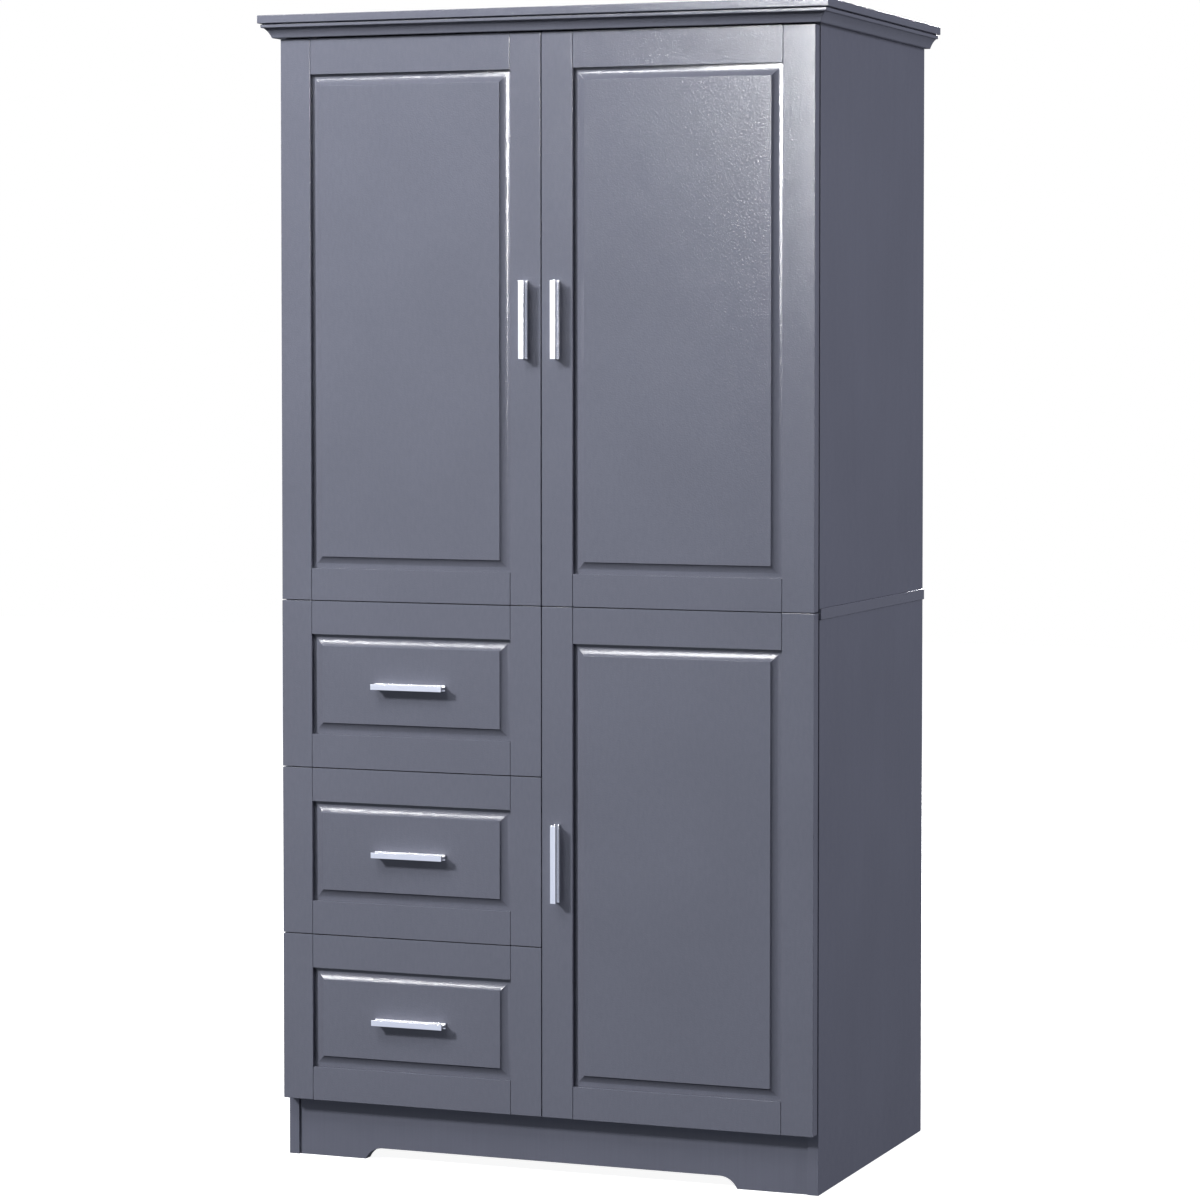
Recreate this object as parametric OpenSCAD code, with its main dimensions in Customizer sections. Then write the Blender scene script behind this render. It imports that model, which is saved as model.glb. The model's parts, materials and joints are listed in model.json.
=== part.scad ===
// Free-standing pantry cabinet: two doors above, three drawers and one door below.
// Millimetres, +Z up, fronts facing -Y, origin on the floor under the middle of the cabinet.

/* [Cabinet] */
// Overall width, across the crown
cabinet_w = 828; // [816:1:860]
// Overall depth, from the crown's front edge to the back
cabinet_d = 498; // [470:1:560]
// Overall height
cabinet_h = 1580; // [1500:1:1700]
// Width across the outer faces of the side panels
carcase_w = 780; // [750:1:792]
// Thickness of the panels, shelves and plinth
board_t = 15; // [15:0.5:16]
// Height of the gap line between the lower and the upper fronts
seam_z = 776; // [740:1:800]

/* [Fronts] */
// Height of the lower edge of the lowest fronts above the floor
fronts_bottom_z = 82; // [70:1:100]
// Thickness of the stiles and rails
front_t = 18; // [18:0.5:20]
// Gap between neighbouring fronts
front_gap = 1.2; // [1:0.1:3]
// Gap between the back of the fronts and the carcase
front_seat_gap = 1.5; // [1.5:0.1:2]
// Width of a stile
stile_w = 45; // [45:1:60]
// Height of a door's top rail
top_rail_h = 49; // [35:1:60]
// Height of a door's bottom rail
bottom_rail_h = 44; // [35:0.5:60]
// Height of the two rails of a drawer front
drawer_rail_h = 46; // [35:0.5:60]
// Depth of a raised panel's edge below the faces of its frame
recess_depth = 6.3; // [5:0.1:6.5]
// Width of the hollow cove round the field of a raised panel
cove_w = 16; // [10:0.5:20]

/* [Crown and plinth] */
// Thickness of the top board
top_board_t = 11; // [10:0.5:16]
// Height of the moulding below the top board
moulding_h = 19.5; // [18:0.5:23]
// How far the top board stands in front of the fronts
crown_front_overhang = 22; // [20:1:26]
// Height of the arch cut in the plinth's lower edge
arch_h = 16; // [10:1:20]
// Radius of the arch's two corners
arch_r = 27.5; // [22:0.5:35]
// Width of the plinth's arch between its rounded corners
arch_flat_w = 498; // [300:1:540]

/* [Handles] */
// Length of a handle bar
handle_l = 106; // [104:1:128]
// Width of a handle's flanges
handle_w = 8; // [7:0.5:12]
// Depth of a handle, from the front it is screwed to
handle_d = 16; // [12:0.5:18]

/* [Drawers] */
// Length of the drawer boxes and their runners
drawer_l = 400; // [300:5:405]
// Height of the drawer boxes
drawer_h = 160; // [120:1:175]
// Thickness of the sides and ends of the drawer boxes
drawer_board_t = 12; // [10:0.5:15]
// Space that a runner takes on each side of a drawer box
runner_gap = 12.7; // [12.7:0.1:13.2]

/* [Hidden] */

$fn = 48;

// Colours
PAINT = [0.46, 0.47, 0.53];
PAINT_SHADE = [0.41, 0.42, 0.48];
METAL = [0.86, 0.86, 0.88];
STEEL = [0.66, 0.67, 0.69];

// Main planes
back_y = cabinet_d / 2;
crown_front_y = -cabinet_d / 2;
front_y = crown_front_y + crown_front_overhang;
carcase_front_y = front_y + front_t + front_seat_gap;
side_x = carcase_w / 2;
inner_x = side_x - board_t;
crown_bottom_z = cabinet_h - top_board_t - moulding_h;
top_board_z = cabinet_h - top_board_t;
side_overhang = (cabinet_w - carcase_w) / 2;
mitre_y = crown_front_y + side_overhang;
moulding_d = carcase_front_y - crown_front_y;

// The middle board lies a little lower than the gap line, and stands proud of the sides
middle_z = seam_z - 10;
middle_top_z = middle_z + board_t;
middle_proud = 2.5;
bottom_top_z = fronts_bottom_z + board_t;

// The fronts stop just inside the side panels' outer faces
fronts_half_w = side_x - 1;
crown_gap = 1.5;
lower_fronts_top_z = seam_z - front_gap / 2;
upper_fronts_z = seam_z + front_gap / 2;
upper_fronts_top_z = crown_bottom_z - crown_gap;
drawer_pitch = (seam_z + front_gap / 2 - fronts_bottom_z) / 3;
drawer_front_h = drawer_pitch - front_gap;

// Grooves: how deep the panels and backs sit in them, and their running clearance
frame_groove = 5;
tongue_t = 6;
back_groove = 5;
back_t = 3;
back_inset = 10;
back_panel_y = back_y - back_inset - back_t;
groove_clear = 0.15;
back_below = 12;
glue_line = 0.5;
panel_back = recess_depth + tongue_t;

// The field of a raised panel: how far it lies below the frame, and the little step at its edge
field_set_back = 0.5;
field_step = 0.9;
cove_steps = 10;
cove_depth = recess_depth - field_set_back - field_step;
cove_r = (cove_w * cove_w + cove_depth * cove_depth) / (2 * cove_depth);

// Shelves and their pegs
shelf_side_gap = 1;
shelf_front_y = carcase_front_y + 15;
shelf_d = back_panel_y - 6 - shelf_front_y;
lower_shelf_z = (bottom_top_z + middle_z - board_t) / 2;
upper_inner_h = top_board_z - middle_top_z;
upper_shelf_low_z = middle_top_z + upper_inner_h / 3 - board_t / 2;
upper_shelf_high_z = middle_top_z + 2 * upper_inner_h / 3 - board_t / 2;
peg_r = 2.5;
peg_hole_r = 2.6;
peg_hole_depth = 10;
peg_in = 9;
peg_out = 8;
peg_collar_r = 4;
peg_collar_t = 0.8;
peg_pitch = 32;
fixing_ys = [-150, 180];

// Cam locks
cam_r = 7.5;
cam_t = 12;
cam_clear = 0.1;
cam_edge = 24;
cam_slot = 1.6;

// Hinges, measured from a door's outer edge (across) and its front face (back)
hinge_inset = 100;
cup_edge = 4;
cup_bore_r = 17.5;
cup_r = 17.3;
cup_wall = 1;
cup_depth = 11.6;
cup_bore_depth = 12.2;
cup_across = cup_edge + cup_bore_r;
flange_t = 1.2;
flange_half_l = 26;
flange_from = -6;
flange_w = 15.5;
plate_z = 24;
plate_t = 2;
plate_back = 50;
plate_w = 20;
foot_z = 9;
foot_back = 42;
foot_w = 36;
link_across = 28;
link_t = 4;
link_tip = 15;
link_back = 10;
link_l = 50;
link_z = 6;
link_clear = 0.6;
arm_across = 22;
arm_w = 14;
arm_back = 24;
arm_l = 62;
arm_z = 8.5;
arm_end_t = 4;
hook_lap = 1;

// Runners: three nested channels, measured across from the wall that they are screwed to
runner_l = drawer_l - 2;
runner_t = 1.2;
runner_z = 50;
outer_half = 20;
outer_w = 9;
middle_half = 16.6;
middle_from = 3.2;
middle_to = 11;
inner_half = 12.8;
inner_from = 6.5;

// Drawer boxes
drawer_lift = 26;
drawer_base_t = 3;
drawer_base_lift = 8;
drawer_groove = 5;
box_x0 = -inner_x + runner_gap;
box_x1 = -board_t / 2 - runner_gap;
box_y = front_y + front_t;

module box_from(low, high) {
    translate(low) cube(high - low);
}

// mirror_at(1) keeps its children on the right, mirror_at(-1) turns them to the left
module mirror_at(side) {
    if (side > 0) children();
    else mirror([1, 0, 0]) children();
}

// ---------------------------------------------------------------- carcase

// Blind peg holes in the face of a panel at x, drilled towards +x (side 1) or -x (side -1)
module peg_holes(x, side, shelf_z) {
    for (y = fixing_ys, step = [-2 : 2])
        translate([x, y, shelf_z - peg_r + step * peg_pitch])
            rotate([0, side * 90, 0])
                translate([0, 0, -1]) cylinder(r = peg_hole_r, h = peg_hole_depth + 1);
}

// Blind holes for cam locks in the face of a panel at x
module cam_holes(x, side, z) {
    for (y = fixing_ys)
        translate([x, y, z])
            rotate([0, side * 90, 0])
                translate([0, 0, -1])
                    cylinder(r = cam_r + cam_clear, h = cam_t + 1 + cam_clear);
}

// A slotted metal disc, lying in its hole with its face in the panel's surface
module cam() {
    difference() {
        cylinder(r = cam_r, h = cam_t);
        for (turn = [0, 90])
            rotate([0, 0, turn])
                translate([-cam_r * 0.7, -cam_slot / 2, -1]) cube([cam_r * 1.4, cam_slot, 3]);
    }
}

module cams(x, side, z) {
    for (y = fixing_ys)
        translate([x, y, z]) rotate([0, side * 90, 0]) cam();
}

// A right-hand side panel with the groove for the back
module side_panel(z0, z1) {
    difference() {
        box_from([inner_x, carcase_front_y, z0], [side_x, back_y, z1]);
        box_from(
            [inner_x - 1, back_panel_y - groove_clear, z0 - 1],
            [inner_x + back_groove, back_panel_y + back_t + groove_clear, z1 + 1]
        );
    }
}

module lower_side_left() {
    color(PAINT_SHADE) difference() {
        mirror([1, 0, 0]) side_panel(0, middle_z);
        cam_holes(-inner_x, -1, middle_z - cam_edge);
    }
}

module lower_side_right() {
    color(PAINT_SHADE) difference() {
        side_panel(0, middle_z);
        cam_holes(inner_x, 1, middle_z - cam_edge);
        peg_holes(inner_x, 1, lower_shelf_z);
    }
}

module upper_side(side) {
    difference() {
        mirror_at(side) side_panel(middle_top_z, top_board_z);
        cam_holes(side * inner_x, side, middle_top_z + cam_edge);
        cam_holes(side * inner_x, side, top_board_z - cam_edge);
        peg_holes(side * inner_x, side, upper_shelf_low_z);
        peg_holes(side * inner_x, side, upper_shelf_high_z);
    }
}

module upper_side_left() {
    color(PAINT_SHADE) upper_side(-1);
}

module upper_side_right() {
    color(PAINT_SHADE) upper_side(1);
}

// The upright board between the drawers and the lower door's space
module divider() {
    color(PAINT_SHADE) difference() {
        box_from(
            [-board_t / 2, carcase_front_y, bottom_top_z],
            [board_t / 2, back_panel_y - groove_clear, middle_z]
        );
        cam_holes(board_t / 2, -1, middle_z - cam_edge);
        peg_holes(board_t / 2, -1, lower_shelf_z);
    }
}

module bottom_board() {
    color(PAINT_SHADE) difference() {
        box_from(
            [-inner_x, carcase_front_y, fronts_bottom_z],
            [inner_x, back_panel_y - groove_clear, bottom_top_z]
        );
        for (side = [-1, 1], y = fixing_ys)
            translate([side * (inner_x - cam_edge), y, fronts_bottom_z - 1])
                cylinder(r = cam_r + cam_clear, h = cam_t + 1 + cam_clear);
    }
}

// The board between the lower and upper halves, as deep as the side panels
module middle_board() {
    color(PAINT) box_from(
        [-side_x - middle_proud, carcase_front_y, middle_z],
        [side_x + middle_proud, back_y, middle_top_z]
    );
}

module top_board() {
    color(PAINT) box_from(
        [-cabinet_w / 2, crown_front_y, top_board_z],
        [cabinet_w / 2, back_y, cabinet_h]
    );
}

// Section of the crown moulding: a narrow groove, a fillet and a shallow cove that steepens
// downwards. x is the distance in from the top board's edge, y the height from it down.
function moulding_points(depth) =
    let (groove_in = 5.5, groove_h = 1.2, fillet_in = 3.5, fillet_h = 4.8, cove_in = 6.3,
         from = 40, to = 74, steps = 14, fillet_z = groove_h + fillet_h,
         radius = (moulding_h - fillet_z) / (cos(from) - cos(to)))
    concat(
        [[depth, 0], [groove_in, 0], [groove_in, -groove_h], [fillet_in, -groove_h],
         [fillet_in, -fillet_z]],
        [for (i = [0 : steps])
            let (slope = from + (to - from) * i / steps)
            [cove_in + radius * (sin(slope) - sin(from)),
             -fillet_z - radius * (cos(from) - cos(slope))]],
        [[depth, -moulding_h]]
    );

module crown_front() {
    color(PAINT) intersection() {
        translate([-cabinet_w / 2, crown_front_y, top_board_z])
            rotate([90, 0, 90])
                linear_extrude(cabinet_w) polygon(moulding_points(moulding_d));
        translate([0, 0, crown_bottom_z - 1])
            linear_extrude(moulding_h + 2)
                polygon([
                    [-cabinet_w / 2, crown_front_y], [cabinet_w / 2, crown_front_y],
                    [side_x, mitre_y], [side_x, carcase_front_y],
                    [-side_x, carcase_front_y], [-side_x, mitre_y]
                ]);
    }
}

module crown_side() {
    intersection() {
        translate([cabinet_w / 2, back_y, top_board_z])
            rotate([90, 0, 0])
                mirror([1, 0, 0])
                    linear_extrude(cabinet_d) polygon(moulding_points(side_overhang));
        translate([0, 0, crown_bottom_z - 1])
            linear_extrude(moulding_h + 2)
                polygon([
                    [cabinet_w / 2, crown_front_y], [cabinet_w / 2, back_y],
                    [side_x, back_y], [side_x, mitre_y]
                ]);
    }
}

module crown_left() {
    color(PAINT) mirror([1, 0, 0]) crown_side();
}

module crown_right() {
    color(PAINT) crown_side();
}

module back_panel(z0, z1) {
    half_w = inner_x + back_groove - 2 * groove_clear;
    box_from([-half_w, back_panel_y, z0], [half_w, back_panel_y + back_t, z1]);
}

module lower_back() {
    color(PAINT_SHADE) back_panel(fronts_bottom_z - back_below, middle_z - groove_clear);
}

module upper_back() {
    color(PAINT_SHADE) back_panel(middle_top_z + groove_clear, top_board_z - groove_clear);
}

// The board under the fronts, arched along the floor so that it stands on its two ends
module plinth() {
    set_back = 3;
    color(PAINT_SHADE) difference() {
        translate([-inner_x, carcase_front_y + set_back, 0])
            cube([2 * inner_x, board_t, fronts_bottom_z]);
        box_from(
            [-arch_flat_w / 2, carcase_front_y, -1],
            [arch_flat_w / 2, carcase_front_y + set_back + board_t + 1, arch_h]
        );
        for (side = [-1, 1])
            translate([side * arch_flat_w / 2, carcase_front_y, arch_h - arch_r])
                rotate([-90, 0, 0]) cylinder(r = arch_r, h = set_back + board_t + 1, $fn = 96);
    }
}

module shelf(x0, x1, z) {
    translate([x0 + shelf_side_gap, shelf_front_y, z])
        cube([x1 - x0 - 2 * shelf_side_gap, shelf_d, board_t]);
}

module lower_shelf() {
    color(PAINT) shelf(board_t / 2, inner_x, lower_shelf_z);
}

module upper_shelf_low() {
    color(PAINT) shelf(-inner_x, inner_x, upper_shelf_low_z);
}

module upper_shelf_high() {
    color(PAINT) shelf(-inner_x, inner_x, upper_shelf_high_z);
}

// One peg in the face of a panel at x: its stem goes in towards side, its head holds the shelf
module peg(x, side, y, shelf_z) {
    translate([x, y, shelf_z - peg_r]) rotate([0, side * 90, 0]) {
        translate([0, 0, -peg_out]) cylinder(r = peg_r, h = peg_out + peg_in);
        translate([0, 0, -peg_collar_t]) cylinder(r = peg_collar_r, h = peg_collar_t);
    }
}

module shelf_pins() {
    color(STEEL) for (y = fixing_ys) {
        peg(board_t / 2, -1, y, lower_shelf_z);
        peg(inner_x, 1, y, lower_shelf_z);
        for (side = [-1, 1], z = [upper_shelf_low_z, upper_shelf_high_z])
            peg(side * inner_x, side, y, z);
    }
}

module cam_locks() {
    color(STEEL) {
        cams(board_t / 2, -1, middle_z - cam_edge);
        for (side = [-1, 1]) {
            cams(side * inner_x, side, middle_z - cam_edge);
            cams(side * inner_x, side, middle_top_z + cam_edge);
            cams(side * inner_x, side, top_board_z - cam_edge);
            for (y = fixing_ys)
                translate([side * (inner_x - cam_edge), y, fronts_bottom_z]) cam();
        }
    }
}

// ---------------------------------------------------------------- hinges

// Puts a hinge piece, drawn for a left-hand door with its outer front edge at the origin,
// at each hinge of a door that spans z0 to z1
module at_hinges(side, z0, z1) {
    for (z = [z0 + hinge_inset, z1 - hinge_inset])
        translate([side * fronts_half_w, front_y, z])
            mirror_at(-side) children();
}

// A hinge arm with its mounting plate. The arm is hollow, and the link slides out of its front.
module hinge_arm() {
    wall_across = fronts_half_w - inner_x;
    difference() {
        union() {
            box_from(
                [wall_across, foot_back, -foot_z],
                [arm_across, foot_back + foot_w, foot_z]
            );
            box_from(
                [wall_across, plate_back, -plate_z],
                [wall_across + plate_t, plate_back + plate_w, plate_z]
            );
            box_from(
                [arm_across, arm_back, -arm_z],
                [arm_across + arm_w, arm_back + arm_l, arm_z]
            );
        }
        box_from(
            [link_across - link_clear, arm_back - 1, -link_z - link_clear],
            [link_across + link_t + link_clear, arm_back + arm_l - arm_end_t, link_z + link_clear]
        );
    }
}

// The hooked link between the arm and the cup
module hinge_link() {
    box_from([link_across, link_back, -link_z], [link_across + link_t, link_back + link_l, link_z]);
    box_from(
        [link_tip, link_back, -link_z],
        [link_across + hook_lap, link_back + link_t, link_z]
    );
}

// A cup with its fixing flange, let into the back of a door
module hinge_cup() {
    translate([cup_across, front_t, 0]) rotate([90, 0, 0]) difference() {
        union() {
            cylinder(r = cup_r, h = cup_depth);
            translate([flange_from, -flange_half_l, -flange_t])
                cube([flange_w, 2 * flange_half_l, flange_t]);
        }
        translate([0, 0, -flange_t - 1])
            cylinder(r = cup_r - cup_wall, h = cup_depth + flange_t + 1 - cup_wall);
    }
}

module hinge_arms() {
    color(STEEL) {
        at_hinges(-1, upper_fronts_z, upper_fronts_top_z) hinge_arm();
        at_hinges(1, upper_fronts_z, upper_fronts_top_z) hinge_arm();
        at_hinges(1, fronts_bottom_z, lower_fronts_top_z) hinge_arm();
    }
}

// ---------------------------------------------------------------- doors and drawer fronts

// A stile standing on z0, its groove opening towards +x
module stile(z0, z1) {
    difference() {
        box_from([0, 0, z0], [stile_w, front_t, z1]);
        box_from(
            [stile_w - frame_groove, recess_depth - groove_clear, z0 - 1],
            [stile_w + 1, panel_back + groove_clear, z1 + 1]
        );
    }
}

// A rail of height h with a stub tenon at each end, its groove opening upwards
module rail(x0, x1, h) {
    tenon = frame_groove - groove_clear;
    difference() {
        union() {
            box_from([x0, 0, 0], [x1, front_t, h]);
            box_from([x0 - tenon, recess_depth, 0], [x1 + tenon, panel_back, h]);
        }
        box_from(
            [x0 - tenon - 1, recess_depth - groove_clear, h - frame_groove],
            [x1 + tenon + 1, panel_back + groove_clear, h + 1]
        );
    }
}

// The four pieces of a frame from x0 to x1 and z0 to z1, with rails of heights low_h and top_h,
// and with holes for hinge cups near its right edge if it has cups
module front_frame(x0, x1, z0, z1, low_h, top_h, cups = false) {
    rail_x0 = x0 + stile_w + glue_line;
    rail_x1 = x1 - stile_w - glue_line;
    translate([0, front_y, 0]) {
        difference() {
            union() {
                translate([x0, 0, 0]) stile(z0, z1);
                translate([x1, 0, 0]) mirror([1, 0, 0]) stile(z0, z1);
            }
            if (cups)
                for (z = [z0 + hinge_inset, z1 - hinge_inset])
                    translate([x1 - cup_across, front_t + 1, z])
                        rotate([90, 0, 0]) cylinder(r = cup_bore_r, h = cup_bore_depth + 1);
        }
        translate([0, 0, z0]) rail(rail_x0, rail_x1, low_h);
        translate([0, 0, z1]) mirror([0, 0, 1]) rail(rail_x0, rail_x1, top_h);
    }
}

// Half the face of a raised panel of width w, from the frame in to the field: a hollow cove
// that starts flat at the frame and steepens, then a small step up to the field
function cove_points(w) =
    let (turn = asin(cove_w / cove_r))
    concat(
        [for (i = [0 : cove_steps])
            let (angle = turn * i / cove_steps)
            [w / 2 - cove_r * sin(angle), recess_depth - cove_r * (1 - cos(angle))]],
        [[w / 2 - cove_w, field_set_back]]
    );

// Section of a raised panel of width w: the tongue all round, the coves and the field
function raised_section(w) =
    let (tongue = w / 2 + frame_groove - 2 * groove_clear, right = cove_points(w),
         last = len(right) - 1)
    concat(
        [[-tongue, panel_back], [-tongue, recess_depth]],
        [for (p = right) [-p[0], p[1]]],
        [for (i = [0 : last]) right[last - i]],
        [[tongue, recess_depth], [tongue, panel_back]]
    );

// A raised panel that fills the frame from x0 to x1 and z0 to z1 with those rails
module raised_panel(x0, x1, z0, z1, low_h, top_h) {
    opening_w = x1 - x0 - 2 * stile_w;
    opening_h = z1 - z0 - top_h - low_h;
    middle_height = z0 + low_h + opening_h / 2;
    reach = opening_w + opening_h;
    translate([(x0 + x1) / 2, front_y, middle_height]) intersection() {
        translate([0, 0, -reach / 2]) linear_extrude(reach) polygon(raised_section(opening_w));
        rotate([0, 90, 0])
            translate([0, 0, -reach / 2]) linear_extrude(reach) polygon(raised_section(opening_h));
    }
}

// A handle bar standing up: two flanges joined by a narrower web
module handle_bar() {
    flange = 2.6;
    web = 3.8;
    translate([0, 0, -handle_l / 2]) linear_extrude(handle_l) polygon([
        [-handle_w / 2, 0], [-handle_w / 2, -flange], [-web / 2, -flange],
        [-web / 2, flange - handle_d], [-handle_w / 2, flange - handle_d],
        [-handle_w / 2, -handle_d], [handle_w / 2, -handle_d],
        [handle_w / 2, flange - handle_d], [web / 2, flange - handle_d],
        [web / 2, -flange], [handle_w / 2, -flange], [handle_w / 2, 0]
    ]);
}

// The handle of a door, on the middle of the stile next to the centre line
module door_handle(side, z0, z1) {
    translate([side * (front_gap + stile_w) / 2, front_y, (z0 + z1) / 2]) handle_bar();
}

// The frame and panel of a door between z0 and z1, left (side -1) or right (side 1) of the centre
module door_frame(side, z0, z1) {
    mirror_at(side)
        front_frame(front_gap / 2, fronts_half_w, z0, z1, bottom_rail_h, top_rail_h, true);
}

module door_panel(side, z0, z1) {
    mirror_at(side)
        raised_panel(front_gap / 2, fronts_half_w, z0, z1, bottom_rail_h, top_rail_h);
}

module upper_left_frame() {
    color(PAINT) door_frame(-1, upper_fronts_z, upper_fronts_top_z);
}

module upper_right_frame() {
    color(PAINT) door_frame(1, upper_fronts_z, upper_fronts_top_z);
}

module lower_right_frame() {
    color(PAINT) door_frame(1, fronts_bottom_z, lower_fronts_top_z);
}

module upper_left_panel() {
    color(PAINT) door_panel(-1, upper_fronts_z, upper_fronts_top_z);
}

module upper_right_panel() {
    color(PAINT) door_panel(1, upper_fronts_z, upper_fronts_top_z);
}

module lower_right_panel() {
    color(PAINT) door_panel(1, fronts_bottom_z, lower_fronts_top_z);
}

module upper_left_handle() {
    color(METAL) door_handle(-1, upper_fronts_z, upper_fronts_top_z);
}

module upper_right_handle() {
    color(METAL) door_handle(1, upper_fronts_z, upper_fronts_top_z);
}

module lower_right_handle() {
    color(METAL) door_handle(1, fronts_bottom_z, lower_fronts_top_z);
}

module upper_left_cups() {
    color(STEEL) at_hinges(-1, upper_fronts_z, upper_fronts_top_z) hinge_cup();
}

module upper_right_cups() {
    color(STEEL) at_hinges(1, upper_fronts_z, upper_fronts_top_z) hinge_cup();
}

module lower_right_cups() {
    color(STEEL) at_hinges(1, fronts_bottom_z, lower_fronts_top_z) hinge_cup();
}

module upper_left_links() {
    color(STEEL) at_hinges(-1, upper_fronts_z, upper_fronts_top_z) hinge_link();
}

module upper_right_links() {
    color(STEEL) at_hinges(1, upper_fronts_z, upper_fronts_top_z) hinge_link();
}

module lower_right_links() {
    color(STEEL) at_hinges(1, fronts_bottom_z, lower_fronts_top_z) hinge_link();
}

// ---------------------------------------------------------------- drawers

// Height of the lower edge of a drawer front: 0 is the lowest drawer, 2 the top one
function drawer_z(level) = fronts_bottom_z + level * drawer_pitch;
function box_z(level) = drawer_z(level) + drawer_lift;

module drawer_frame(level) {
    color(PAINT) front_frame(
        -fronts_half_w, -front_gap / 2, drawer_z(level), drawer_z(level) + drawer_front_h,
        drawer_rail_h, drawer_rail_h
    );
}

module drawer_panel(level) {
    color(PAINT) raised_panel(
        -fronts_half_w, -front_gap / 2, drawer_z(level), drawer_z(level) + drawer_front_h,
        drawer_rail_h, drawer_rail_h
    );
}

// The handle of a drawer, lying on the middle of its front
module drawer_handle(level) {
    middle_x = -(fronts_half_w + front_gap / 2) / 2;
    middle_height = drawer_z(level) + drawer_front_h / 2;
    color(METAL)
        translate([middle_x, front_y + field_set_back, middle_height])
            rotate([0, 90, 0]) handle_bar();
}

// Groove for the base, all round the inside of a drawer box
module base_groove(level) {
    box_from(
        [box_x0 + drawer_board_t - drawer_groove, box_y + drawer_board_t - drawer_groove,
            box_z(level) + drawer_base_lift - groove_clear],
        [box_x1 - drawer_board_t + drawer_groove, box_y + drawer_l - drawer_board_t + drawer_groove,
            box_z(level) + drawer_base_lift + drawer_base_t + groove_clear]
    );
}

module drawer_sides(level) {
    color(PAINT_SHADE) difference() {
        for (x = [box_x0, box_x1 - drawer_board_t])
            translate([x, box_y, box_z(level)]) cube([drawer_board_t, drawer_l, drawer_h]);
        base_groove(level);
    }
}

module drawer_ends(level) {
    color(PAINT_SHADE) difference() {
        for (y = [box_y, box_y + drawer_l - drawer_board_t])
            box_from(
                [box_x0 + drawer_board_t, y, box_z(level)],
                [box_x1 - drawer_board_t, y + drawer_board_t, box_z(level) + drawer_h]
            );
        base_groove(level);
    }
}

module drawer_base(level) {
    edge = drawer_board_t - drawer_groove + 2 * groove_clear;
    color(PAINT_SHADE) box_from(
        [box_x0 + edge, box_y + edge, box_z(level) + drawer_base_lift],
        [box_x1 - edge, box_y + drawer_l - edge, box_z(level) + drawer_base_lift + drawer_base_t]
    );
}

// A channel along +y: its web stands from 0 to runner_t across, its flanges reach to w.
// A negative w turns the channel round, so that it opens towards -x.
module channel(w, half) {
    toward = sign(w);
    translate([0, runner_l, 0]) rotate([90, 0, 0]) linear_extrude(runner_l) polygon([
        [0, -half], [w, -half], [w, runner_t - half], [toward * runner_t, runner_t - half],
        [toward * runner_t, half - runner_t], [w, half - runner_t], [w, half], [0, half]
    ]);
}

// Puts a runner member on both walls of the drawers' space, measured across from each wall
module at_walls(level) {
    translate([-inner_x, carcase_front_y + 2, box_z(level) + runner_z]) children();
    translate([-board_t / 2, carcase_front_y + 2, box_z(level) + runner_z])
        mirror([1, 0, 0]) children();
}

module drawer_runners(level) {
    color(STEEL) at_walls(level)
        translate([runner_gap, 0, 0]) channel(inner_from - runner_gap, inner_half);
}

module drawer_middles(level) {
    color(STEEL) at_walls(level)
        translate([middle_from, 0, 0]) channel(middle_to - middle_from, middle_half);
}

module runner_outers() {
    color(STEEL) for (level = [0 : 2]) at_walls(level) channel(outer_w, outer_half);
}

module drawer_top_frame() { drawer_frame(2); }
module drawer_top_panel() { drawer_panel(2); }
module drawer_top_handle() { drawer_handle(2); }
module drawer_top_sides() { drawer_sides(2); }
module drawer_top_ends() { drawer_ends(2); }
module drawer_top_base() { drawer_base(2); }
module drawer_top_runners() { drawer_runners(2); }
module drawer_top_middles() { drawer_middles(2); }

module drawer_mid_frame() { drawer_frame(1); }
module drawer_mid_panel() { drawer_panel(1); }
module drawer_mid_handle() { drawer_handle(1); }
module drawer_mid_sides() { drawer_sides(1); }
module drawer_mid_ends() { drawer_ends(1); }
module drawer_mid_base() { drawer_base(1); }
module drawer_mid_runners() { drawer_runners(1); }
module drawer_mid_middles() { drawer_middles(1); }

module drawer_low_frame() { drawer_frame(0); }
module drawer_low_panel() { drawer_panel(0); }
module drawer_low_handle() { drawer_handle(0); }
module drawer_low_sides() { drawer_sides(0); }
module drawer_low_ends() { drawer_ends(0); }
module drawer_low_base() { drawer_base(0); }
module drawer_low_runners() { drawer_runners(0); }
module drawer_low_middles() { drawer_middles(0); }

lower_side_left();
lower_side_right();
upper_side_left();
upper_side_right();
divider();
bottom_board();
middle_board();
top_board();
crown_front();
crown_left();
crown_right();
lower_back();
upper_back();
plinth();
lower_shelf();
upper_shelf_low();
upper_shelf_high();
shelf_pins();
cam_locks();
hinge_arms();
runner_outers();
upper_left_frame();
upper_left_panel();
upper_left_handle();
upper_left_cups();
upper_right_frame();
upper_right_panel();
upper_right_handle();
upper_right_cups();
lower_right_frame();
lower_right_panel();
lower_right_handle();
lower_right_cups();
upper_left_links();
upper_right_links();
lower_right_links();
drawer_top_frame();
drawer_top_panel();
drawer_top_handle();
drawer_top_sides();
drawer_top_ends();
drawer_top_base();
drawer_top_runners();
drawer_top_middles();
drawer_mid_frame();
drawer_mid_panel();
drawer_mid_handle();
drawer_mid_sides();
drawer_mid_ends();
drawer_mid_base();
drawer_mid_runners();
drawer_mid_middles();
drawer_low_frame();
drawer_low_panel();
drawer_low_handle();
drawer_low_sides();
drawer_low_ends();
drawer_low_base();
drawer_low_runners();
drawer_low_middles();
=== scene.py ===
"""Looks of the pantry cabinet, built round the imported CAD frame.

Camera, light and floor come first, then materials, softened edges on the CAD nodes, and the small
hardware: screws, bumpers and nails. Everything is in metres, in the frame's own axes.
"""

import json
import math

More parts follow.
